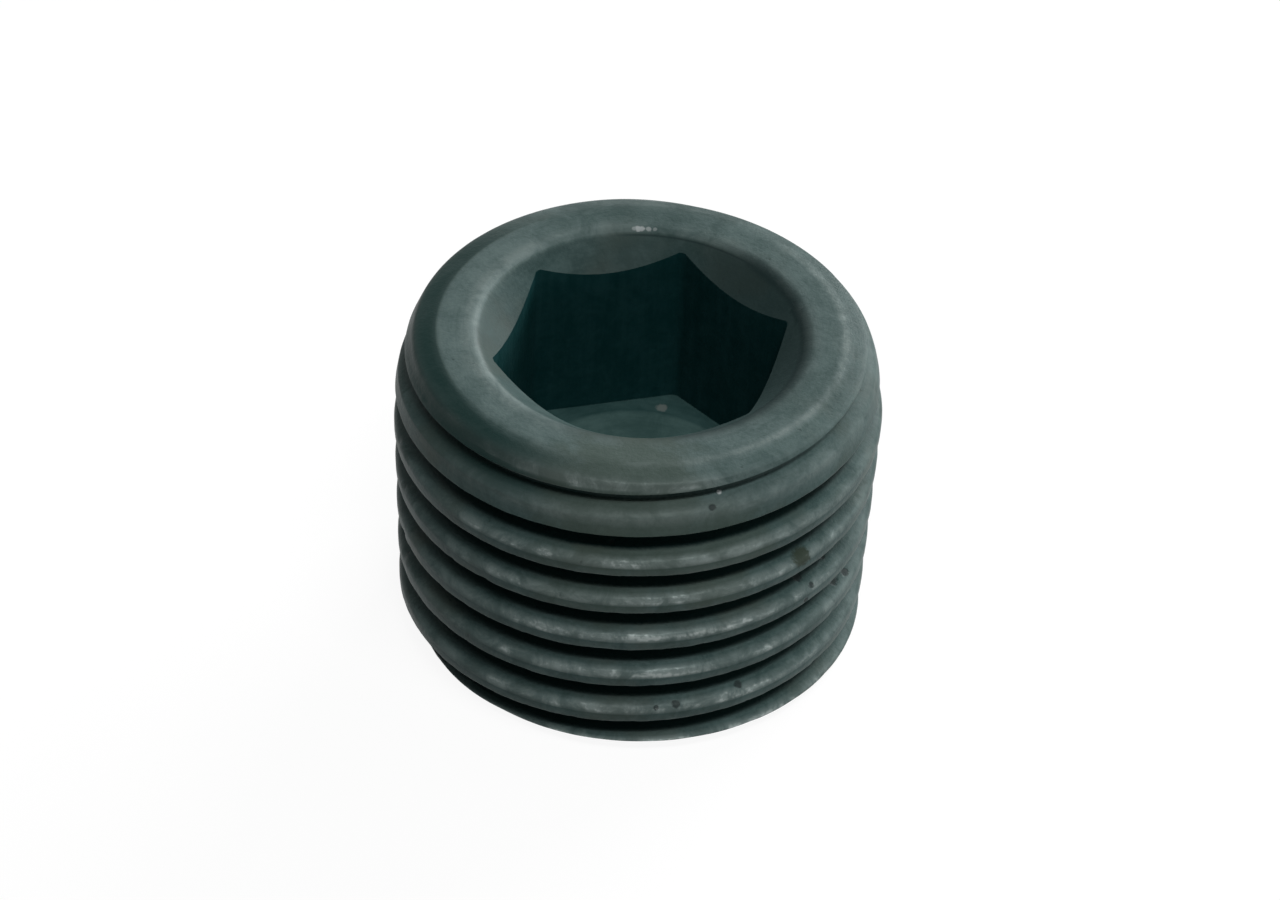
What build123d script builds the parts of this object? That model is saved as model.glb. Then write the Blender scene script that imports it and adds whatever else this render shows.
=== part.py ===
"""Hex socket plug: a headless plug for a taper pipe thread, made from one piece of steel.

Millimetres, +Z up. The plug stands on its narrow end: the origin is the middle of that end's
face, the axis is +Z, and the socket opens upwards in the wide end. Two corners of the socket's
hexagon lie on the Y axis.
"""

from build123d import *
from math import atan, ceil, cos, degrees, radians, tan
import os

# ---- Driving dimensions, in millimetres and degrees ----

# Body: a slow taper, with a shoulder, a chamfer and a sloping brow round the wide end's flat
# face, and a chamfer at the narrow end
PLUG_LENGTH = 9.6
MAJOR_DIAMETER = 13.4      # over the ridges' tops, where their taper reaches the wide end
TAPER = 1 / 16             # diameter lost for each millimetre towards the narrow end
SHOULDER_LENGTH = 2.2      # wide end's face down to where the shoulder joins the taper
SHOULDER_DROP = 0.19       # how far the shoulder leans in on its way up to the chamfer
WIDE_CHAMFER = 0.32        # how far the chamfer above the shoulder leans in
WIDE_CHAMFER_ANGLE = 66.0  # measured from the wide end's face
BROW_WIDTH = 0.65          # radial width of the slope between that chamfer and the flat face
BROW_ANGLE = 14.0          # measured from the wide end's face
NARROW_CHAMFER_ANGLE = 30.0    # measured from the narrow end's face
NARROW_CHAMFER_MARGIN = 0.1    # how far inside the thread's root that face stops

# Thread: a right-hand V groove with a flat floor, wound up the taper
THREAD_PITCH = 1.337
THREAD_ANGLE = 55.0        # between the groove's flanks
CREST_FLAT = 0.36          # width of a ridge's top
ROOT_FLAT = 0.18           # width of the groove's floor
FIRST_GROOVE_DROP = 0.42   # wide end's face down to the groove's middle, on the +X side

# Socket: a hexagon with a drilled floor and a countersunk mouth
ACROSS_FLATS = 7.1         # takes a 7 mm key
SOCKET_DEPTH = 5.4         # wide end's face down to the hexagon's floor
DRILL_DIAMETER = 6.4
DRILL_POINT_ANGLE = 140.0
COUNTERSINK_ANGLE = 100.0
COUNTERSINK_MARGIN = 0.37  # how far the countersink's mouth stands outside the corners
LIP_RADIUS = 0.6           # rounding between the countersink and the wide end's face

# ---- Sizes that follow from them ----

half_taper = degrees(atan(TAPER / 2))
flank_slope = tan(radians(THREAD_ANGLE / 2))
thread_depth = (THREAD_PITCH - CREST_FLAT - ROOT_FLAT) / (2 * flank_slope)
corner_radius = ACROSS_FLATS / 2 / cos(radians(30))
mouth_radius = corner_radius + COUNTERSINK_MARGIN


def crest_radius(height):
    """Radius over the ridges' tops at a height above the narrow end, without the shoulder."""
    return MAJOR_DIAMETER / 2 - (PLUG_LENGTH - height) * TAPER / 2


def blank():
    """The plug before its thread and socket are cut."""
    brow_radius = crest_radius(PLUG_LENGTH - SHOULDER_LENGTH) - SHOULDER_DROP - WIDE_CHAMFER
    brow_drop = BROW_WIDTH * tan(radians(BROW_ANGLE))
    chamfer_drop = WIDE_CHAMFER * tan(radians(WIDE_CHAMFER_ANGLE))
    narrow_face = crest_radius(0) - thread_depth - NARROW_CHAMFER_MARGIN
    narrow_chamfer = (crest_radius(0) - narrow_face) * tan(radians(NARROW_CHAMFER_ANGLE))
    outline = Polyline(
        (0, 0),
        (narrow_face, 0),
        (crest_radius(narrow_chamfer), narrow_chamfer),
        (crest_radius(PLUG_LENGTH - SHOULDER_LENGTH), PLUG_LENGTH - SHOULDER_LENGTH),
        (brow_radius + WIDE_CHAMFER, PLUG_LENGTH - brow_drop - chamfer_drop),
        (brow_radius, PLUG_LENGTH - brow_drop),
        (brow_radius - BROW_WIDTH, PLUG_LENGTH),
        (0, PLUG_LENGTH),
        close=True,
    )
    return revolve(Plane.XZ * make_face(outline), Axis.Z)


def groove_turn(start):
    """What one turn of the thread takes out of the blank, from the groove's middle at +X."""
    path = Helix(
        pitch=THREAD_PITCH / cos(radians(half_taper)),
        height=THREAD_PITCH,
        radius=crest_radius(start),
        center=(0, 0, start),
        cone_angle=half_taper,
    )
    overshoot = CREST_FLAT / (4 * flank_slope)
    floor = ROOT_FLAT / 2
    mouth = floor + (thread_depth + overshoot) * flank_slope
    section = Polyline(
        (overshoot, mouth),
        (-thread_depth, floor),
        (-thread_depth, -floor),
        (overshoot, -mouth),
        close=True,
    )
    across = Plane(path @ 0, x_dir=(1, 0, 0), z_dir=path % 0)
    return sweep(across * make_face(section), path=path, is_frenet=True)


def threaded_blank():
    """The blank with its thread cut, turn after turn, past both of its ends."""
    body = blank()
    turns_below = ceil((PLUG_LENGTH - FIRST_GROOVE_DROP) / THREAD_PITCH) + 1
    turns_above = ceil(FIRST_GROOVE_DROP / THREAD_PITCH)
    for turn in range(-turns_below, turns_above):
        body -= groove_turn(PLUG_LENGTH - FIRST_GROOVE_DROP + turn * THREAD_PITCH)
    return body

def socket():
    """The hexagon, the drilled hollow in its floor, and the countersink at its mouth."""
    floor = PLUG_LENGTH - SOCKET_DEPTH
    hexagon = Pos(Z=floor) * extrude(RegularPolygon(corner_radius, 6, rotation=30), SOCKET_DEPTH)
    drill_radius = DRILL_DIAMETER / 2
    drill_depth = drill_radius / tan(radians(DRILL_POINT_ANGLE / 2))
    hollow = Pos(Z=floor - drill_depth / 2) * Cone(0, drill_radius, drill_depth)
    sink_depth = mouth_radius / tan(radians(COUNTERSINK_ANGLE / 2))
    countersink = Pos(Z=PLUG_LENGTH - sink_depth / 2) * Cone(0, mouth_radius, sink_depth)
    return hexagon + hollow + countersink


def plug_body():
    """The finished plug, with the lip of its socket rounded."""
    body = threaded_blank() - socket()
    top_circles = body.edges().filter_by(GeomType.CIRCLE).group_by(Axis.Z)[-1]
    return fillet(top_circles.sort_by(SortBy.RADIUS)[0], LIP_RADIUS)


os.makedirs("parts", exist_ok=True)
export_step(plug_body(), "parts/plug_body.step")
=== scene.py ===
"""Looks of the hex socket plug: one detailed piece of blackened steel on a plain pale floor."""

import random
from math import atan2, ceil, cos, degrees, exp, hypot, pi, radians, sin, sqrt, tan

import bmesh
import bpy
from mathutils import Euler, Matrix, Vector, kdtree, noise


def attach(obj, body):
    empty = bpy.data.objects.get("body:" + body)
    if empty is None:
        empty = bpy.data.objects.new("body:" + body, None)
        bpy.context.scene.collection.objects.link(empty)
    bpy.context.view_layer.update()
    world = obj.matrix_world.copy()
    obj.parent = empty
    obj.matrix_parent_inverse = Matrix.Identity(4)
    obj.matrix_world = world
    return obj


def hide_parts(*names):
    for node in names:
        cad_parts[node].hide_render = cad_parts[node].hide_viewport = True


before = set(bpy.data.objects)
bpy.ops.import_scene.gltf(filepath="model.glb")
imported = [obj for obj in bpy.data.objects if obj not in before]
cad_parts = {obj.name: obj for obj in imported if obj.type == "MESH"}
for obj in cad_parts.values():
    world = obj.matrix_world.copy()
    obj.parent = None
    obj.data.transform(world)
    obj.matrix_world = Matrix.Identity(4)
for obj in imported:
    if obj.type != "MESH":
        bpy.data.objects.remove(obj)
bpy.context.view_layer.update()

# ---- Sizes of the plug, in millimetres and degrees ----

MM = 0.001
PLUG_LENGTH = 9.6
MAJOR_RADIUS = 6.7          # over the ridges' tops, at the height of the wide end
TAPER = 1 / 32              # radius lost for each millimetre towards the narrow end
PITCH = 1.337
THREAD_ANGLE = 55.0
CREST_FLAT = 0.36
ROOT_FLAT = 0.18
RIDGE_TOP_ROUNDING = 0.24   # the worn upper edge of a ridge
RIDGE_FOOT_ROUNDING = 0.06  # its lower edge
RIDGE_FOOT_SPREAD = 0.06    # how far a ridge hangs over the groove below it
ROOT_ROUNDING = 0.09
FIRST_GROOVE_DROP = 0.42

FACE_RADIUS = 5.471         # outer edge of the flat ring round the socket
FACE_ROUNDING = 1.4         # between that ring and the brow
BROW_ANGLE = 14.0
BROW_RADIUS = 6.121
CHAMFER_ANGLE = 66.0
SHOULDER_TOP_RADIUS = 6.441
SHOULDER_FOOT_RADIUS = 6.631
SHOULDER_FOOT_DEPTH = 2.2
NARROW_FACE_RADIUS = 5.53
NARROW_CHAMFER_ANGLE = 30.0
NARROW_EDGE_ROUNDING = 0.25

# How softly one turned form runs into the next
BROW_SOFTNESS = 0.12
SHOULDER_SOFTNESS = 0.10
NARROW_SOFTNESS = 0.05
CUT_SOFTNESS = 0.035        # where the turned forms cut the ridges' tops

ACROSS_FLATS = 7.1
CORNER_LOSS = 0.04          # how far the hexagon's corners stop short of sharp ones
SOCKET_DEPTH = 5.4
DRILL_RADIUS = 3.2
DRILL_POINT_ANGLE = 140.0
COUNTERSINK_ANGLE = 100.0
COUNTERSINK_MARGIN = 0.37
LIP_RADIUS = 0.6

DENT_COUNT = 90
DENT_SEED = 11
DENT_REACH = 0.10, 0.26
DENT_DEPTH = 0.012, 0.045
UNEVENNESS = 0.022          # how far the ridges' lower edges wander up and down
SKIN_LOSS = 0.010           # how far the ridges' tops wear in
UNEVEN_INNER = 5.7          # radius within which neither acts
END_MARGIN = 0.3            # next to each end, where the ridges stay as they are
DENTS_START = 0.5           # height under which no dent lies

# Rows of points that carry the forms, and how they are joined, cut and smoothed
COLUMNS = 300               # round the axis; a multiple of twelve puts one on each corner
SIDE_TOP_DEPTH = 0.002      # where the threaded side meets the flat ring
BROW_ROWS = (0.009, 0.02, 0.035, 0.055, 0.08, 0.105, 0.13, 0.155, 0.18, 0.22)  # depths
BROW_REACH = 0.6            # only the side's faces above this depth are cut into rows
FACE_ROWS = (5.1, 4.9)      # radii
SINK_ROWS = (0.15, 0.4, 0.7, 0.9, 1.0)   # shares of the way from the lip to the hexagon
SOCKET_ROWS = (8.2, 7.2, 6.2, 5.2)       # heights
HOLLOW_ROWS = (2.4, 1.6, 0.8, 0.2)       # radii
NARROW_ROWS = (4.4, 3.3, 2.2, 1.1, 0.3)  # radii
SHARP_ANGLE = 38.0
JOIN_DISTANCE = 0.002
CUT_TOLERANCE = 1e-5

turns = ceil(PLUG_LENGTH / PITCH)
flank_slope = tan(radians(THREAD_ANGLE / 2))
thread_depth = (PITCH - CREST_FLAT - ROOT_FLAT) / (2 * flank_slope)
half_mouth = (PITCH - CREST_FLAT) / 2
floor_height = PLUG_LENGTH - SOCKET_DEPTH
corner_radius = ACROSS_FLATS / 2 / cos(radians(30))
mouth_radius = corner_radius + COUNTERSINK_MARGIN
brow_slope = tan(radians(BROW_ANGLE))
chamfer_slope = tan(radians(CHAMFER_ANGLE))
brow_depth = (BROW_RADIUS - FACE_RADIUS) * brow_slope
shoulder_depth = brow_depth + (SHOULDER_TOP_RADIUS - BROW_RADIUS) * chamfer_slope
face_edge = FACE_RADIUS - FACE_ROUNDING * tan(radians(BROW_ANGLE / 2))


def crest_radius(height):
    return MAJOR_RADIUS - (PLUG_LENGTH - height) * TAPER


# ---- Making the plug ----

def soft_min(first, second, softness):
    """The smaller of two lengths, rounded over where they are nearly equal."""
    return (first + second - sqrt((first - second) ** 2 + softness ** 2)) / 2


def brow(depth):
    """Radius of the slope round the wide end's face, with its rounding into that face."""
    rounding_end = FACE_ROUNDING * (1 - cos(radians(BROW_ANGLE)))
    if depth < rounding_end:
        return face_edge + sqrt(max(0.0, depth * (2 * FACE_ROUNDING - depth)))
    return FACE_RADIUS + depth / brow_slope


def turned_limit(height):
    """Radius of the turned bar before threading: brow, chamfer, shoulder and narrow end."""
    depth = PLUG_LENGTH - height
    chamfer = BROW_RADIUS + (depth - brow_depth) / chamfer_slope
    lean = (SHOULDER_FOOT_RADIUS - SHOULDER_TOP_RADIUS) / (SHOULDER_FOOT_DEPTH - shoulder_depth)
    shoulder = SHOULDER_TOP_RADIUS + (depth - shoulder_depth) * lean
    narrow = NARROW_FACE_RADIUS + height / tan(radians(NARROW_CHAMFER_ANGLE))
    wide_side = soft_min(brow(depth), soft_min(chamfer, shoulder, SHOULDER_SOFTNESS),
                         BROW_SOFTNESS)
    return soft_min(wide_side, narrow, NARROW_SOFTNESS)


def hexagon_radius(angle):
    """Distance from the axis to the hexagon's wall, with its corners eased."""
    from_flat = (angle + pi / 6) % (pi / 3) - pi / 6
    return min(ACROSS_FLATS / 2 / cos(from_flat), corner_radius - CORNER_LOSS)


def thread_section(bm):
    """One pitch of the thread's profile, from the middle of one ridge to the next."""
    root = MAJOR_RADIUS - thread_depth
    lowest = PLUG_LENGTH - FIRST_GROOVE_DROP - PITCH * turns
    corners = [
        (MAJOR_RADIUS, -PITCH / 2),
        (MAJOR_RADIUS, -half_mouth),
        (root, -ROOT_FLAT / 2),
        (root, ROOT_FLAT / 2),
        (MAJOR_RADIUS, half_mouth - RIDGE_FOOT_SPREAD),
        (MAJOR_RADIUS, PITCH / 2),
    ]
    verts = [bm.verts.new((radius, 0, lowest + height)) for radius, height in corners]
    for pair in zip(verts, verts[1:]):
        bm.edges.new(pair)
    turn = radians(90 - THREAD_ANGLE / 2) / 2
    roundings = (([verts[1]], RIDGE_TOP_ROUNDING, 7), ([verts[4]], RIDGE_FOOT_ROUNDING, 3),
                 ([verts[2], verts[3]], ROOT_ROUNDING, 3))
    for ends, rounding, segments in roundings:
        bmesh.ops.bevel(bm, geom=ends, offset=rounding * tan(turn), segments=segments,
                        profile=0.5, affect="VERTICES", material=-1)
    flanks = [edge for edge in bm.edges if edge.calc_length() > thread_depth / 2]
    bmesh.ops.subdivide_edges(bm, edges=flanks, cuts=4)


def polar(vert):
    return atan2(vert.co.y, vert.co.x), hypot(vert.co.x, vert.co.y)


def put(vert, angle, radius, height):
    vert.co = Vector((radius * cos(angle), radius * sin(angle), height))


def points_of(geom):
    return [part for part in geom if isinstance(part, bmesh.types.BMVert)]


def threaded_side(bm):
    """The outside between the two ends: the screw, tapered and cut to the turned bar."""
    thread_section(bm)
    bmesh.ops.spin(bm, geom=bm.verts[:] + bm.edges[:], cent=(0, 0, 0), axis=(0, 0, 1),
                   dvec=(0, 0, PITCH / COLUMNS), angle=2 * pi, steps=COLUMNS)
    turn = bm.verts[:] + bm.edges[:] + bm.faces[:]
    for _ in range(turns + 1):
        turn = bmesh.ops.duplicate(bm, geom=turn)["geom"]
        bmesh.ops.translate(bm, verts=points_of(turn), vec=(0, 0, PITCH))
    bmesh.ops.remove_doubles(bm, verts=bm.verts, dist=JOIN_DISTANCE)
    side_low = NARROW_EDGE_ROUNDING * (1 - cos(radians(NARROW_CHAMFER_ANGLE)))
    side_high = PLUG_LENGTH - SIDE_TOP_DEPTH
    for height, keeps_above in ((side_low, True), (side_high, False)):
        bmesh.ops.bisect_plane(bm, geom=bm.verts[:] + bm.edges[:] + bm.faces[:],
                               dist=CUT_TOLERANCE, plane_co=(0, 0, height),
                               plane_no=(0, 0, 1), clear_inner=keeps_above,
                               clear_outer=not keeps_above)
    for depth in BROW_ROWS:
        near = [face for face in bm.faces
                if any(vert.co.z > PLUG_LENGTH - BROW_REACH for vert in face.verts)]
        geom = {part for face in near for part in (face, *face.edges, *face.verts)}
        bmesh.ops.bisect_plane(bm, geom=list(geom), dist=CUT_TOLERANCE,
                               plane_co=(0, 0, PLUG_LENGTH - depth), plane_no=(0, 0, 1))
    for vert in bm.verts:
        angle, radius = polar(vert)
        tapered = radius - (PLUG_LENGTH - vert.co.z) * TAPER
        put(vert, angle, soft_min(tapered, turned_limit(vert.co.z), CUT_SOFTNESS), vert.co.z)
    return side_low, side_high


def rim(bm, height):
    """The open edges at a height."""
    return [edge for edge in bm.edges
            if edge.is_boundary and all(abs(v.co.z - height) < 1e-3 for v in edge.verts)]


def next_ring(bm, edges, radius, height):
    """Extrudes open edges to a radius and a height, each given as a function of angle."""
    grown = bmesh.ops.extrude_edge_only(bm, edges=edges)["geom"]
    for vert in points_of(grown):
        angle = polar(vert)[0]
        put(vert, angle, radius(angle), height(angle))
    return [edge for edge in grown if isinstance(edge, bmesh.types.BMEdge)]


def rings(bm, edges, outline):
    """Extrudes open edges along an outline of (radius, height) pairs."""
    for radius, height in outline:
        edges = next_ring(bm, edges, lambda angle: radius, lambda angle: height)
    return edges


def arc(radius, height, rounding, start, end, steps):
    """Points along a rounding about a centre, leaving out the first."""
    turn = [radians(start + (end - start) * step / steps) for step in range(1, steps + 1)]
    return [(radius + rounding * cos(a), height + rounding * sin(a)) for a in turn]


def wide_end(bm, side_high):
    """The flat ring, the rounded lip, the countersink and the socket."""
    lip_turn = 90 - COUNTERSINK_ANGLE / 2
    lip_centre = mouth_radius + LIP_RADIUS * tan(radians(lip_turn / 2))
    edges = rings(bm, rim(bm, side_high),
                  [(radius, PLUG_LENGTH) for radius in (face_edge, *FACE_ROWS, lip_centre)])
    edges = rings(bm, edges, arc(lip_centre, PLUG_LENGTH - LIP_RADIUS, LIP_RADIUS,
                                 90, 90 + lip_turn, 8))
    lip_end = lip_centre - LIP_RADIUS * sin(radians(lip_turn))
    sink_slope = tan(radians(COUNTERSINK_ANGLE / 2))
    for share in SINK_ROWS:
        def reach(angle):
            return lip_end + (hexagon_radius(angle) - lip_end) * share
        def on_cone(angle):
            return PLUG_LENGTH - (mouth_radius - reach(angle)) / sink_slope
        edges = next_ring(bm, edges, reach, on_cone)
    for height in (*SOCKET_ROWS, floor_height):
        edges = next_ring(bm, edges, hexagon_radius, lambda angle: height)
    drill_slope = tan(radians(DRILL_POINT_ANGLE / 2))
    hollow = [(radius, floor_height - (DRILL_RADIUS - radius) / drill_slope)
              for radius in (DRILL_RADIUS, *HOLLOW_ROWS)]
    close_middle(bm, rings(bm, edges, hollow))


def narrow_end(bm, side_low):
    """The rounded edge and the flat face that the plug stands on."""
    centre = NARROW_FACE_RADIUS - NARROW_EDGE_ROUNDING * tan(radians(NARROW_CHAMFER_ANGLE / 2))
    edges = rings(bm, rim(bm, side_low), arc(centre, NARROW_EDGE_ROUNDING, NARROW_EDGE_ROUNDING,
                                             -90 + NARROW_CHAMFER_ANGLE, -90, 3))
    close_middle(bm, rings(bm, edges, [(radius, 0) for radius in NARROW_ROWS]))


def close_middle(bm, edges):
    """Closes a small open ring with a point on the axis."""
    verts = points_of(bmesh.ops.extrude_edge_only(bm, edges=edges)["geom"])
    bmesh.ops.pointmerge(bm, verts=verts, merge_co=(0, 0, verts[0].co.z))


# ---- How each place is worn, and where light and shade are painted, kept with the mesh ----

# Directions round the axis, in degrees from the X axis, where a trace is strongest
RIDGES_RUBBED_AND_LIT = -67
FIRST_RIDGE_LESS_HIGHLIGHT = -70
FIRST_RIDGE_LIT = -60
FACE_EDGE_RUBBED_AND_LIT = -5
CHAMFER_RUBBED_AND_LIT = -81
LIP_RUBBED_AND_LIT = -170
LIP_SHADED = -15
LIP_LINE_SHADED = 40
SINK_SHADED = 10
BROW_LIT = -67
BROW_SHADED = -157
BROW_SHADE_BLURRED = -100
FACE_LESS_LIT = 50

# Radii in millimetres
LIP_MIDDLE = 4.60           # of the band that is rubbed and carries a painted highlight
LIP_LINE_RADIUS = 4.345     # of the line of painted shade in the crease where the lip meets the countersink
SINK_RADIUS = 4.38          # where the countersink's dull finish and painted shade start
PALE_FACE_RADIUS = 5.40     # where the flat ring's pale finish starts to fade

# Radii outside which, and depths above which, a trace is looked for
EDGES_INNER, GROOVES_INNER, FACE_INNER, LIP_INNER = 5.6, 5.2, 4.4, 4.25
LIP_DEPTH, SINK_DEPTH = 0.4, 2.0


def bell(distance, width):
    return exp(-(distance / width) ** 2)


def smooth_step(value, low, high):
    share = min(1.0, max(0.0, (value - low) / (high - low)))
    return share * share * (3 - 2 * share)


def towards(angle, direction, full, gone):
    """1 where a place lies within some degrees of a direction, easing to 0 farther round."""
    apart = abs((degrees(angle) - direction + 180) % 360 - 180)
    return 1 - smooth_step(apart, full, gone)


def groove_middle(angle):
    """Height of the first groove's middle; the others follow it a pitch apart."""
    return PLUG_LENGTH - FIRST_GROOVE_DROP + PITCH * angle / (2 * pi)


def across_groove(angle, height):
    """Height of a place over the middle of the groove nearest to it."""
    return (height - groove_middle(angle) + PITCH / 2) % PITCH - PITCH / 2


def ridge_edge_of(angle, radius, height):
    """How near a place lies to a ridge's upper edge and, less so, to its lower edge."""
    if radius < EDGES_INNER or height < 0.15:
        return 0.0
    cut = max(0.0, crest_radius(height) - turned_limit(height))
    if crest_radius(height) - cut - radius > 0.2:
        return 0.0
    edge_at = half_mouth - cut * flank_slope
    groove = across_groove(angle, height)
    lower = bell(groove - edge_at + RIDGE_FOOT_SPREAD, width=0.05)
    return max(bell(groove + edge_at + 0.04, width=0.14), 0.4 * lower)


def edge_wear_and_highlight_of(angle, radius, height):
    """How exposed and rubbed an edge lies at a place on the plug, from 0 to 1, with painted
    highlight on the sides facing the lamps.
    """
    depth = PLUG_LENGTH - height
    # Painted highlight: ridges are rubbed and lit most on the side that faces the lamps.
    rubbed_and_lit = 0.25 + 0.75 * towards(angle, RIDGES_RUBBED_AND_LIT, full=25, gone=75)
    # The first ridge gets less of this painted highlight at the front.
    if 0 < groove_middle(angle) - height < 0.8 * PITCH:
        rubbed_and_lit *= 1 - 0.55 * towards(angle, FIRST_RIDGE_LESS_HIGHLIGHT, full=60, gone=120)
    # The face edge, the chamfer's edge and the lip are rubbed, with painted highlight where they
    # face the lamps.
    face = bell(hypot(radius - FACE_RADIUS - 0.02, depth), width=0.12)
    face *= 0.1 + 0.55 * towards(angle, FACE_EDGE_RUBBED_AND_LIT, full=45, gone=80)
    chamfer = bell(hypot(radius - BROW_RADIUS - 0.04, depth - brow_depth - 0.08), width=0.18)
    if radius > BROW_RADIUS - 0.02 and brow_depth < depth < brow_depth + 0.24:
        chamfer = 1.0
    chamfer *= 0.2 + 0.7 * towards(angle, CHAMFER_RUBBED_AND_LIT, full=10, gone=38)
    lip = 0.0
    if depth < LIP_DEPTH:
        lip = 1 - smooth_step(abs(radius - LIP_MIDDLE), low=0.12, high=0.36)
        lip *= 0.15 + 0.25 * towards(angle, LIP_RUBBED_AND_LIT, full=45, gone=85)
    foot = 0.5 * bell(hypot(radius - NARROW_FACE_RADIUS, height), width=0.12)
    return max(face, chamfer, lip, foot, rubbed_and_lit * ridge_edge_of(angle, radius, height))


def shelter_of(angle, radius, height):
    """How deep a place lies in the thread's groove, from 0 to 1; it sets the painted shade there.
    """
    if radius < GROOVES_INNER or not 0.1 < height < PLUG_LENGTH - 0.02:
        return 0.0
    under = min(crest_radius(height), turned_limit(height)) - radius
    return min(1.0, max(0.0, under / thread_depth))


def turned_and_lit_of(angle, radius, height):
    """How cleanly turned and pale a place is: the flat ring, less so the brow and first ridge,
    which are painted lighter on the lamps' side; all of it less so on one side.
    """
    if radius < FACE_INNER:
        return 0.0
    if PLUG_LENGTH - height > brow_depth + 0.05:
        below = groove_middle(angle) - height
        return 1.2 * bell(below - 0.48, width=0.27) * towards(
            angle, FIRST_RIDGE_LIT, full=35, gone=80)
    # Painted light: the brow is paler on the side towards the lamps.
    on_brow = 0.45 + 0.5 * towards(angle, BROW_LIT, full=15, gone=50)
    on_flat = bell(max(0.0, radius - PALE_FACE_RADIUS), width=0.10)
    return max(on_flat, on_brow) * (1 - 0.35 * towards(angle, FACE_LESS_LIT, full=65, gone=115))


def sink_dull_and_shade_of(angle, radius, height):
    """How dull a place is, with painted shade: the countersink, more so on one side, the lip
    above it on one side, and a line in the crease between them.
    """
    depth = PLUG_LENGTH - height
    dull_and_shade = 0.0
    if radius < SINK_RADIUS and depth < SINK_DEPTH:
        dull_and_shade = 0.28 + 0.42 * towards(angle, SINK_SHADED, full=55, gone=95)
    if depth < LIP_DEPTH and radius > LIP_INNER:
        lip = 1 - smooth_step(radius, low=4.40, high=4.84)
        lip *= 0.95 * towards(angle, LIP_SHADED, full=72, gone=102)
        line = bell(radius - LIP_LINE_RADIUS, width=0.04)
        line *= towards(angle, LIP_LINE_SHADED, full=65, gone=85)
        dull_and_shade = max(dull_and_shade, lip, line)
    return dull_and_shade


def brow_shade_of(angle, radius, height):
    """How much painted shade a place gets on the brow's side away from the lamps, and on the
    ridge below it.
    """
    fade_end = 5.54 + 0.3 * towards(angle, BROW_SHADE_BLURRED, full=5, gone=50)
    down = 1 - smooth_step(PLUG_LENGTH - height, low=0.9, high=1.6)
    return (towards(angle, BROW_SHADED, full=40, gone=76)
            * smooth_step(radius, low=5.43, high=fade_end) * down)


def mark_surface(bm):
    """Keeps how each place is worn, and where light and shade are painted, as attributes, and
    marks the socket's faces.
    """
    kept = {"edge": edge_wear_and_highlight_of, "shelter": shelter_of, "face": turned_and_lit_of, "sink_dull_and_shade": sink_dull_and_shade_of,
            "brow_shade": brow_shade_of}
    for name, value_of in kept.items():
        layer = bm.verts.layers.float.new(name)
        for vert in bm.verts:
            vert[layer] = value_of(*polar(vert), vert.co.z)
    for face in bm.faces:
        middle = face.calc_center_median()
        inside = hypot(middle.x, middle.y) < corner_radius and middle.z > 1.0
        on_wall = abs(face.normal.z) < 0.05
        on_floor = middle.z < floor_height + 0.01
        face.material_index = int(inside and (on_wall or on_floor))


def dent_edges(bm):
    """Small chips and a slight unevenness along the ridges' edges, always inwards."""
    chance = random.Random(DENT_SEED)
    tree = kdtree.KDTree(len(bm.verts))
    for vert in bm.verts:
        tree.insert(vert.co, vert.index)
    tree.balance()
    bm.verts.ensure_lookup_table()
    for _ in range(DENT_COUNT):
        angle = chance.uniform(-pi, pi)
        turn = chance.randint(0, turns - 1)
        edge = chance.choice((-half_mouth, -half_mouth, half_mouth))
        reach, depth = chance.uniform(*DENT_REACH), chance.uniform(*DENT_DEPTH)
        height = groove_middle(angle) - PITCH * turn + edge
        if not DENTS_START < height < PLUG_LENGTH - END_MARGIN:
            continue
        radius = min(crest_radius(height), turned_limit(height))
        middle = (radius * cos(angle), radius * sin(angle), height)
        for _, index, apart in tree.find_range(middle, reach):
            vert = bm.verts[index]
            push = depth * (1 - (apart / reach) ** 2) ** 2
            vert.co.xy *= 1 - push / vert.co.xy.length
    for vert in bm.verts:
        angle, radius = polar(vert)
        if radius > UNEVEN_INNER and END_MARGIN < vert.co.z < PLUG_LENGTH - END_MARGIN:
            uneven = noise.noise(vert.co * 2.2) + 0.6 * noise.noise(vert.co * 5.0)
            lift = bell(across_groove(angle, vert.co.z) - half_mouth, width=0.10)
            vert.co.z += uneven * UNEVENNESS * lift
            vert.co.xy *= 1 - SKIN_LOSS * (0.6 + uneven * 0.4) / radius


def make_plug():
    bm = bmesh.new()
    side_low, side_high = threaded_side(bm)
    wide_end(bm, side_high)
    narrow_end(bm, side_low)
    bmesh.ops.recalc_face_normals(bm, faces=bm.faces)
    bm.verts.index_update()
    mark_surface(bm)
    dent_edges(bm)
    bmesh.ops.scale(bm, verts=bm.verts, vec=(MM, MM, MM))
    mesh = bpy.data.meshes.new("plug")
    bm.to_mesh(mesh)
    bm.free()
    mesh.shade_smooth()
    mesh.set_sharp_from_angle(angle=radians(SHARP_ANGLE))
    plug = bpy.data.objects.new("plug", mesh)
    bpy.context.scene.collection.objects.link(plug)
    return plug


plug = make_plug()

# ---- Materials ----

def add(tree, kind, inputs=None, **settings):
    """A shader node with its settings made and its inputs set or linked."""
    made = tree.nodes.new("ShaderNode" + kind)
    for name, value in settings.items():
        setattr(made, name, value)
    for name, value in (inputs or {}).items():
        if isinstance(value, bpy.types.NodeSocket):
            tree.links.new(value, made.inputs[name])
        else:
            made.inputs[name].default_value = value
    return made


def calculate(tree, operation, first, second=0.0, third=0.0):
    return add(tree, "Math", {0: first, 1: second, 2: third}, operation=operation).outputs[0]


def scaled(tree, value, share):
    return calculate(tree, "MULTIPLY", value, share)


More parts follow.
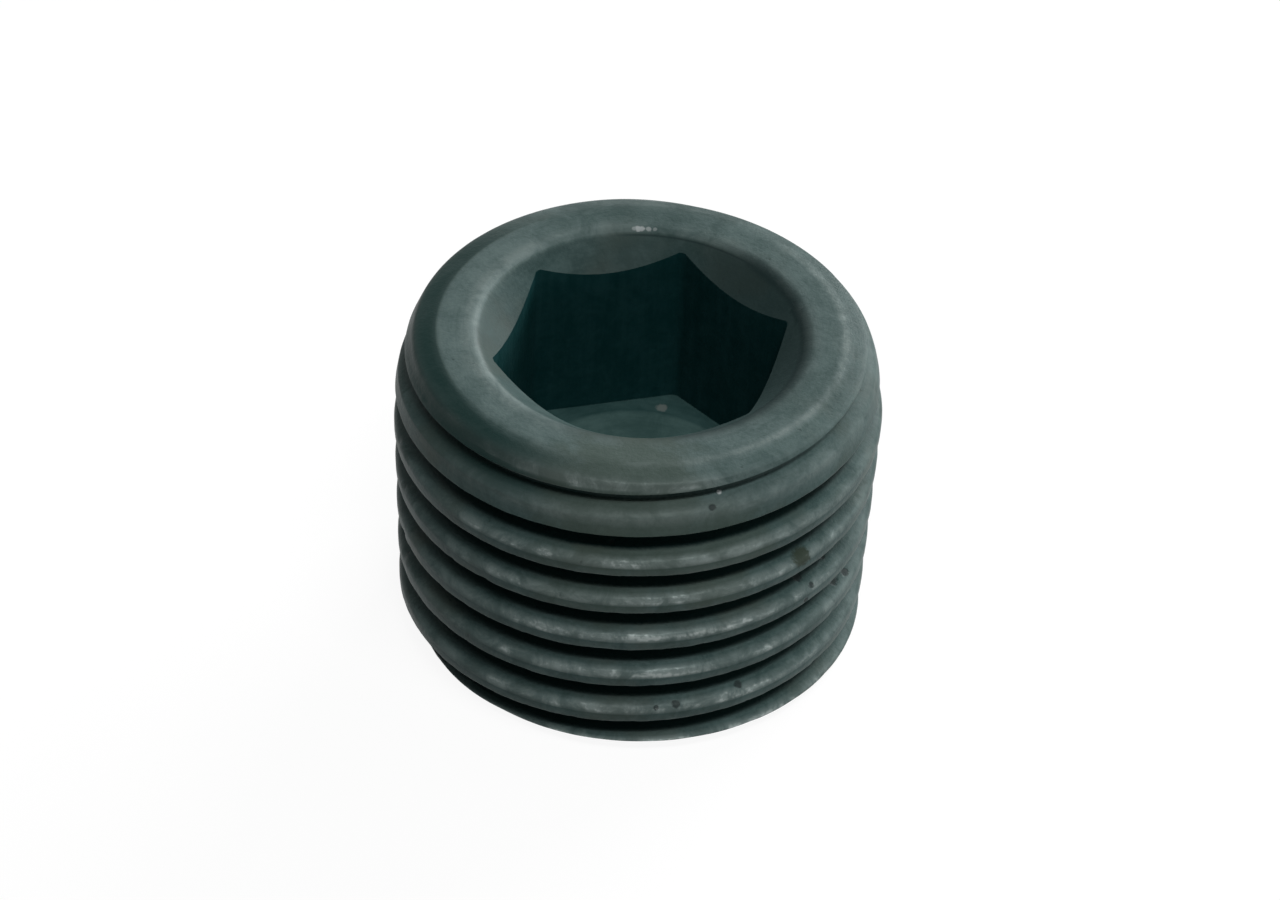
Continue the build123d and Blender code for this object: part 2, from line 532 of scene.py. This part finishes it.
def weighed(tree, *parts, base=0.0):
    """The sum of several values, each times its weight, over a base."""
    total = base
    for value, weight in parts:
        total = calculate(tree, "MULTIPLY_ADD", value, weight, total)
    return total


def ramp(tree, value, low, high, to_low=0.0, to_high=1.0):
    """A smooth step from one value to another while the input goes from low to high."""
    inputs = {"Value": value, "From Min": low, "From Max": high,
              "To Min": to_low, "To Max": to_high}
    return add(tree, "MapRange", inputs, interpolation_type="SMOOTHSTEP").outputs["Result"]


def blend_colours(tree, share, first, second):
    mix = add(tree, "Mix", {"Factor": share}, data_type="RGBA")
    for socket, colour in ((mix.inputs[6], first), (mix.inputs[7], second)):
        if isinstance(colour, bpy.types.NodeSocket):
            tree.links.new(colour, socket)
        else:
            socket.default_value = (*colour, 1)
    return mix.outputs[2]


def lay_over(tree, colour, *coats):
    """A colour under several coats, each given as the share of it that shows and its colour."""
    for share, coat in coats:
        colour = blend_colours(tree, share, colour, coat)
    return colour


def new_group(name, inputs, outputs):
    """A shader node group with named sockets; gives its tree and its two end nodes."""
    tree = bpy.data.node_groups.new(name, "ShaderNodeTree")
    for direction, sockets in (("INPUT", inputs), ("OUTPUT", outputs)):
        for socket, kind in sockets.items():
            tree.interface.new_socket(socket, in_out=direction, socket_type="NodeSocket" + kind)
    return tree, tree.nodes.new("NodeGroupInput"), tree.nodes.new("NodeGroupOutput")


def use_group(tree, group, **inputs):
    return add(tree, "Group", {name.replace("_", " "): value for name, value in inputs.items()},
               node_tree=group)


def grain_group():
    """Cloudy tone, fine grain and pores of a blackened surface; Place is in millimetres."""
    tree, given, result = new_group(
        "blackened grain", {"Place": "Vector", "Grain Size": "Float"},
        {"Clouds": "Float", "Grain": "Float", "Pores": "Float"})
    where = given.outputs["Place"]
    fineness = calculate(tree, "DIVIDE", 1.0, given.outputs["Grain Size"])
    clouds = add(tree, "TexNoise", {"Vector": where, "Scale": 1.1, "Detail": 6.0,
                                    "Roughness": 0.66, "Distortion": 0.5})
    grain = add(tree, "TexNoise", {"Vector": where, "Scale": fineness, "Detail": 3.0,
                                   "Roughness": 0.6})
    astray = add(tree, "TexNoise", {"Vector": where, "Scale": 5.0, "Detail": 2.0})
    shifted = add(tree, "VectorMath", {0: astray.outputs["Color"], 1: (0.35, 0.35, 0.35),
                                       2: where}, operation="MULTIPLY_ADD")
    cells = add(tree, "TexVoronoi", {"Vector": shifted.outputs[0], "Scale": 1.9,
                                     "Randomness": 1.0})
    sizes = add(tree, "SeparateColor", {"Color": cells.outputs["Color"]}).outputs[0]
    reach = ramp(tree, sizes, low=0.6, high=1.0, to_low=0.02, to_high=0.16)
    share = calculate(tree, "DIVIDE", cells.outputs["Distance"], reach)
    hollow = ramp(tree, share, low=0.3, high=1.0, to_low=1.0, to_high=0.0)
    pores = scaled(tree, hollow, ramp(tree, sizes, low=0.62, high=0.70))
    for name, value in (("Clouds", clouds.outputs[0]), ("Grain", grain.outputs[0]),
                        ("Pores", pores)):
        tree.links.new(value, result.inputs[name])
    return tree


def marks_group():
    """Fine marks that run round the plug's axis, as a cutting tool leaves them."""
    tree, given, result = new_group(
        "turning marks", {"Place": "Vector", "Fineness": "Float"}, {"Marks": "Float"})
    x, y, z = add(tree, "SeparateXYZ", {0: given.outputs["Place"]}).outputs
    radius = calculate(tree, "SQRT", calculate(
        tree, "ADD", scaled(tree, x, x), scaled(tree, y, y)))
    never_zero = calculate(tree, "ADD", radius, 0.01)
    along = [scaled(tree, calculate(tree, "DIVIDE", part, never_zero), 2.5) for part in (x, y)]
    across = scaled(tree, radius, given.outputs["Fineness"])
    round_axis = add(tree, "CombineXYZ", {0: along[0], 1: along[1], 2: across})
    height = scaled(tree, z, given.outputs["Fineness"])
    marks = add(tree, "TexNoise", {"Vector": round_axis.outputs[0], "W": height, "Scale": 1.0,
                                   "Detail": 3.0, "Roughness": 0.65}, noise_dimensions="4D")
    tree.links.new(marks.outputs[0], result.inputs["Marks"])
    return tree


def spot_group():
    """One ragged spot about a place in millimetres."""
    tree, given, result = new_group(
        "ragged spot", {"Place": "Vector", "Middle": "Vector", "Reach": "Float",
                        "Grain": "Float"}, {"Spot": "Float"})
    apart = add(tree, "VectorMath", {0: given.outputs["Place"], 1: given.outputs["Middle"]},
                operation="DISTANCE").outputs["Value"]
    share = calculate(tree, "DIVIDE", apart, given.outputs["Reach"])
    ragged = weighed(tree, (given.outputs["Grain"], 1.1), base=share)
    spot = ramp(tree, ragged, low=1.2, high=1.75, to_low=1.0, to_high=0.0)
    tree.links.new(spot, result.inputs["Spot"])
    return tree


def wear_and_highlight_group():
    """Where edges are rubbed brighter and painted with highlights and glints, from how sharp an
    edge is and the grain on it.
    """
    tree, given, result = new_group(
        "rubbed and lit edges", {"Edge": "Float", "Clouds": "Float", "Grain": "Float",
                         "Marks": "Float"},
        {"Wear and Highlight": "Float", "Glints": "Float"})
    patchy = ramp(tree, given.outputs["Clouds"], low=0.38, high=0.66, to_low=0.35)
    wear_and_highlight = scaled(tree, given.outputs["Edge"], patchy)
    streaks = weighed(tree, (given.outputs["Marks"], 0.6), (given.outputs["Grain"], 0.4))
    glints = scaled(tree, ramp(tree, wear_and_highlight, low=0.4, high=0.85),
                    ramp(tree, streaks, low=0.48, high=0.58))
    tree.links.new(wear_and_highlight, result.inputs["Wear and Highlight"])
    tree.links.new(glints, result.inputs["Glints"])
    return tree


grain_of_steel, turning_marks = grain_group(), marks_group()
ragged_spot, rubbed_and_lit_edges = spot_group(), wear_and_highlight_group()


def start_material(name):
    """A material whose surface is ready; gives it, its tree, its shader and its place in mm."""
    material = bpy.data.materials.new(name)
    material.use_nodes = True
    tree = material.node_tree
    shader = tree.nodes["Principled BSDF"]
    at = add(tree, "TexCoord").outputs["Object"]
    where = add(tree, "VectorMath", {0: at, "Scale": 1 / MM}, operation="SCALE").outputs[0]
    return material, tree, shader, where


def finish_surface(tree, shader, colour, roughness, height, strength, depth):
    """Links a surface's colour and roughness, and the relief of what lies on it."""
    tree.links.new(colour, shader.inputs["Base Color"])
    tree.links.new(roughness, shader.inputs["Roughness"])
    bump = add(tree, "Bump", {"Height": height, "Strength": strength, "Distance": depth * MM})
    tree.links.new(bump.outputs[0], shader.inputs["Normal"])


# Colours of the finish and of painted light and shade; a pair is its darkest and its palest tone
BLACKENED = (0.034, 0.065, 0.062), (0.070, 0.114, 0.110)
# Pale turned steel, also laid on as painted light on the brow and first ridge
TURNED_AND_LIT = (0.076, 0.118, 0.114), (0.124, 0.173, 0.168)
# The walls' own deep tone, deepened further as painted shade inside the socket
SOCKET_WALL_SHADED = (0.004, 0.032, 0.033), (0.011, 0.048, 0.050)
SOCKET_FLOOR = (0.042, 0.088, 0.083), (0.074, 0.136, 0.129)
OLIVE_DRIFT = (0.066, 0.084, 0.070)
OLIVE_TINT = (0.070, 0.092, 0.072)
OLIVE_STAIN = (0.026, 0.036, 0.022)
# Duller countersink, deepened with painted shade on one side and along the lip
DULL_AND_SHADED_SINK = (0.013, 0.028, 0.028)
# Painted shade on the side and back away from the lamps
PAINTED_SHADE = (0.008, 0.030, 0.027)
# Painted shade deep in the thread's grooves
GROOVE_SHADE = (0.004, 0.016, 0.015)
PIT_DARK = (0.015, 0.022, 0.022)
# Worn bare edges, brightened further as a painted highlight
RUBBED_AND_HIGHLIGHT = (0.235, 0.285, 0.275)
# Painted sparkle highlights on the rubbed edges
GLINT = (0.33, 0.37, 0.36)
# Bare metal of a nick, also used for a painted highlight along the far lip
NICK_AND_HIGHLIGHT = (0.40, 0.44, 0.44)
# Painted glint
SOCKET_GLINT = (0.20, 0.225, 0.21)

# What is left on the surface, and patches of painted light and shade: its place and reach in
# millimetres, and its strength if under 1
DARK_PITS = (
    ((3.48, -5.28, 8.66), 0.10), ((2.91, -5.65, 1.83), 0.12), ((2.43, -5.92, 1.78), 0.08),
    ((4.31, -4.50, 1.95), 0.11), ((5.37, -2.94, 4.79), 0.14), ((5.79, -2.92, 4.61), 0.10),
    ((6.00, -1.31, 3.49), 0.16), ((6.24, -0.81, 3.43), 0.14), ((5.71, -3.17, 4.26), 0.09),
    ((5.80, -1.95, 4.83), 0.10), ((1.00, -5.99, 7.40), 0.08),
)
OLIVE_STAINS = (((5.55, -3.37, 5.95), 0.30, 0.85),)
OLIVE_TINTS = (((1.3, -6.0, 8.4), 2.4, 0.5), ((3.4, -5.3, 7.0), 1.9, 0.45),
               ((0.6, -6.1, 6.2), 1.8, 0.35))
# Patches of painted shade
SHADE_PATCHES = (((-6.4, -1.6, 6.2), 2.9, 0.9), ((-6.2, -2.0, 2.6), 2.6, 0.8),
              ((-1.5, 5.8, 9.4), 2.6, 0.4))
# A bright nick, and a row of spots along the far lip that paint its highlight
NICKS_AND_LIP_HIGHLIGHT = (((3.54, -4.85, 8.84), 0.07), ((-1.45, 4.28, 9.58), 0.07, 0.5),
                ((-1.34, 4.31, 9.58), 0.10, 0.9), ((-1.25, 4.34, 9.58), 0.09, 0.8),
                ((-1.07, 4.39, 9.58), 0.08, 0.6), ((-0.90, 4.43, 9.58), 0.06, 0.4))
# A painted glint on the socket's floor
SOCKET_GLINTS = (((-0.19, 3.40, 4.20), 0.16, 0.6),)


def spots(tree, where, grain, table):
    """The strongest of several spots at each point."""
    strongest = None
    for middle, reach, *strength in table:
        spot = use_group(tree, ragged_spot, Place=where, Middle=middle, Reach=reach,
                         Grain=grain).outputs[0]
        if strength:
            spot = scaled(tree, spot, strength[0])
        strongest = spot if strongest is None else calculate(tree, "MAXIMUM", strongest, spot)
    return strongest


def outside_steel():
    """Blackened steel of the thread, the ends and the countersink, with painted light and shade.
    """
    material, tree, shader, where = start_material("blackened_steel")
    clouds, grain, pores = use_group(tree, grain_of_steel, Place=where,
                                     Grain_Size=0.13).outputs
    marks = use_group(tree, turning_marks, Place=where, Fineness=6.0).outputs[0]
    # edge holds wear with painted highlight; face holds turned paleness with painted light
    edge, shelter, face, sink_dull_and_shade, brow_shade = [
        add(tree, "Attribute", attribute_name=name).outputs["Fac"]
        for name in ("edge", "shelter", "face", "sink_dull_and_shade", "brow_shade")]
    wear_and_highlight, glints = use_group(tree, rubbed_and_lit_edges, Edge=edge, Clouds=clouds, Grain=grain,
                             Marks=marks).outputs

    tone = weighed(tree, (clouds, 0.6), (marks, 0.25), (grain, 0.25))
    paleness = ramp(tree, tone, low=0.40, high=0.70)
    drift = add(tree, "TexNoise", {"Vector": where, "Scale": 0.42, "Detail": 3.0}).outputs[0]
    off_face = ramp(tree, face, low=0.5, high=0.95, to_low=1.0, to_high=0.0)
    shade_share = calculate(
        tree, "MAXIMUM", scaled(tree, spots(tree, where, clouds, SHADE_PATCHES), off_face),
        scaled(tree, brow_shade, ramp(tree, clouds, low=0.30, high=0.60, to_low=0.8)))
    # Painted shade deep in the grooves, where the ridge above shades the flank.
    groove_shade_depth = weighed(tree, (shelter, 1.0), (clouds, 0.12), (grain, 0.10), base=-0.11)
    pits = calculate(tree, "MAXIMUM", scaled(tree, pores, 0.45),
                     spots(tree, where, grain, DARK_PITS))
    colour = lay_over(
        tree, blend_colours(tree, paleness, *BLACKENED),
        (ramp(tree, drift, low=0.50, high=0.72, to_high=0.5), OLIVE_DRIFT),
        # turned paleness, with painted light on the brow and first ridge
        (scaled(tree, face, 0.75), blend_colours(tree, paleness, *TURNED_AND_LIT)),
        # dull countersink with painted shade
        (sink_dull_and_shade, DULL_AND_SHADED_SINK),
        (spots(tree, where, clouds, OLIVE_TINTS), OLIVE_TINT),
        # painted shade
        (shade_share, PAINTED_SHADE),
        # rubbed edges with painted highlights
        (scaled(tree, wear_and_highlight, 0.85), RUBBED_AND_HIGHLIGHT),
        # painted groove shade
        (ramp(tree, groove_shade_depth, low=0.43, high=0.60), GROOVE_SHADE),
        (spots(tree, where, grain, OLIVE_STAINS), OLIVE_STAIN),
        (scaled(tree, pits, 0.8), PIT_DARK),
        # painted glints
        (scaled(tree, glints, 0.7), GLINT),
        # bright nick and painted lip highlight
        (spots(tree, where, grain, NICKS_AND_LIP_HIGHLIGHT), NICK_AND_HIGHLIGHT))

    roughness = weighed(tree, (tone, 0.35), (wear_and_highlight, -0.13), (sink_dull_and_shade, 0.25), base=0.26)
    height = weighed(tree, (pits, -0.8), (marks, 0.5), base=grain)
    finish_surface(tree, shader, colour, roughness, height, strength=0.6, depth=0.02)
    bared = weighed(tree, (glints, 0.25), (wear_and_highlight, 0.16))
    tree.links.new(bared, shader.inputs["Metallic"])
    shader.inputs["IOR"].default_value = 1.17
    return material


def socket_steel():
    """The broached walls and the drilled floor of the socket."""
    material, tree, shader, where = start_material("blackened_socket")
    clouds, grain, pores = use_group(tree, grain_of_steel, Place=where,
                                     Grain_Size=0.22).outputs
    marks = use_group(tree, turning_marks, Place=where, Fineness=4.0).outputs[0]
    stretched = add(tree, "VectorMath", {0: where, 1: (4.0, 4.0, 0.35)}, operation="MULTIPLY")
    broached = add(tree, "TexNoise", {"Vector": stretched.outputs[0], "Scale": 1.0,
                                      "Detail": 3.0, "Roughness": 0.6}).outputs[0]

    height_of = add(tree, "SeparateXYZ", {0: where}).outputs[2]
    on_floor = ramp(tree, height_of, low=floor_height - 0.04, high=floor_height + 0.04,
                    to_low=1.0, to_high=0.0)
    tone = weighed(tree, (broached, 0.3), (grain, 0.2), (clouds, 0.5))
    floor_tone = weighed(tree, (clouds, 0.5), (marks, 0.5))
    # walls: their own tone deepened with painted shade
    shaded_walls = blend_colours(tree, ramp(tree, tone, low=0.38, high=0.66), *SOCKET_WALL_SHADED)
    floor = blend_colours(tree, ramp(tree, floor_tone, low=0.36, high=0.64), *SOCKET_FLOOR)
    colour = lay_over(tree, shaded_walls, (on_floor, floor),
                      # walls, floor and a painted glint
                      (spots(tree, where, grain, SOCKET_GLINTS), SOCKET_GLINT))

    roughness = weighed(tree, (tone, 0.4), base=0.36)
    height = weighed(tree, (pores, -0.6), (broached, 0.8), base=grain)
    finish_surface(tree, shader, colour, roughness, height, strength=0.5, depth=0.03)
    shader.inputs["IOR"].default_value = 1.16
    return material


plug.data.materials.append(outside_steel())
plug.data.materials.append(socket_steel())
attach(plug, "root")
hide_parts("plug_body")

# ---- Floor, world, lamps and camera ----

FLOOR_SIZE = 2.0            # half its side, in metres
FLOOR_PAINT = 0.12
FLOOR_GLOW, FLOOR_GLOW_SEEN = 0.12, 0.92
WORLD_LIGHT, WORLD_SEEN = 0.010, 1.0
LAMP_DISTANCE = 0.5         # metres
# Each lamp's turn from the camera's side to the right, its elevation, the angles that its
# width and height fill, and its level
LAMPS = {
    "key": (30, 63, 26, 7, 0.29),
    "front": (2, 62, 20, 4, 0.19),
    "rim": (144, 22, 34, 24, 0.80),
    "back": (158, 41, 30, 14, 0.08),
    "right": (108, 9, 26, 10, 0.24),
    "side": (60, 8, 26, 8, 0.12),
}
CAMERA_PLACE = (24.988, -96.622, 89.458)     # millimetres
CAMERA_PITCH, CAMERA_AZIMUTH, CAMERA_ROLL = 40.0947, 14.4341, 2.7825
LENS = 134.37


def studio_strength(tree, hidden, shown):
    """A strength as light on the plug, and another where it is seen or mirrored."""
    ray = add(tree, "LightPath").outputs
    seen = calculate(tree, "MAXIMUM", ray["Is Camera Ray"], calculate(
        tree, "MAXIMUM", ray["Is Glossy Ray"], ray["Is Transmission Ray"]))
    return add(tree, "MapRange", {"Value": seen, "To Min": hidden,
                                  "To Max": shown}).outputs["Result"]


def make_floor():
    bm = bmesh.new()
    bmesh.ops.create_grid(bm, x_segments=1, y_segments=1, size=FLOOR_SIZE)
    mesh = bpy.data.meshes.new("floor")
    bm.to_mesh(mesh)
    bm.free()
    floor = bpy.data.objects.new("floor", mesh)
    bpy.context.scene.collection.objects.link(floor)
    material = bpy.data.materials.new("pale_floor")
    material.use_nodes = True
    tree = material.node_tree
    tree.nodes.clear()
    paint = add(tree, "BsdfDiffuse", {"Color": (FLOOR_PAINT, FLOOR_PAINT, FLOOR_PAINT, 1)})
    strength = studio_strength(tree, FLOOR_GLOW, FLOOR_GLOW_SEEN)
    glow = add(tree, "Emission", {"Strength": strength})
    both = add(tree, "AddShader", {0: paint.outputs[0], 1: glow.outputs[0]})
    add(tree, "OutputMaterial", {"Surface": both.outputs[0]})
    mesh.materials.append(material)
    return floor


def make_world():
    world = bpy.data.worlds.new("studio")
    bpy.context.scene.world = world
    world.use_nodes = True
    tree = world.node_tree
    back = tree.nodes["Background"]
    back.inputs["Color"].default_value = (1, 1, 1, 1)
    tree.links.new(studio_strength(tree, WORLD_LIGHT, WORLD_SEEN), back.inputs["Strength"])


def make_lamp(name, turn, elevation, width, height, level):
    """A soft lamp that faces the plug. Level 1 lights a white card that faces it to white."""
    data = bpy.data.lights.new(name, "AREA")
    data.shape = "RECTANGLE"
    data.size = 2 * LAMP_DISTANCE * tan(radians(width / 2))
    data.size_y = 2 * LAMP_DISTANCE * tan(radians(height / 2))
    data.energy = level * (pi * LAMP_DISTANCE) ** 2
    light = bpy.data.objects.new(name, data)
    bpy.context.scene.collection.objects.link(light)
    a, e = radians(CAMERA_AZIMUTH + turn), radians(elevation)
    away = Vector((sin(a) * cos(e), -cos(a) * cos(e), sin(e)))
    light.location = away * LAMP_DISTANCE + Vector((0, 0, PLUG_LENGTH * MM / 2))
    light.rotation_euler = away.to_track_quat("Z", "Y").to_euler()


def make_camera():
    data = bpy.data.cameras.new("camera")
    data.lens = LENS
    data.clip_start, data.clip_end = 0.005, 10
    camera = bpy.data.objects.new("camera", data)
    bpy.context.scene.collection.objects.link(camera)
    facing = Euler((radians(90 - CAMERA_PITCH), 0, radians(CAMERA_AZIMUTH))).to_matrix()
    rolled = facing @ Matrix.Rotation(radians(CAMERA_ROLL), 3, "Z")
    camera.matrix_world = Matrix.Translation(Vector(CAMERA_PLACE) * MM) @ rolled.to_4x4()
    bpy.context.scene.camera = camera


make_floor()
make_world()
for name, settings in LAMPS.items():
    make_lamp(name, *settings)
make_camera()
bpy.context.scene.view_settings.view_transform = "Standard"
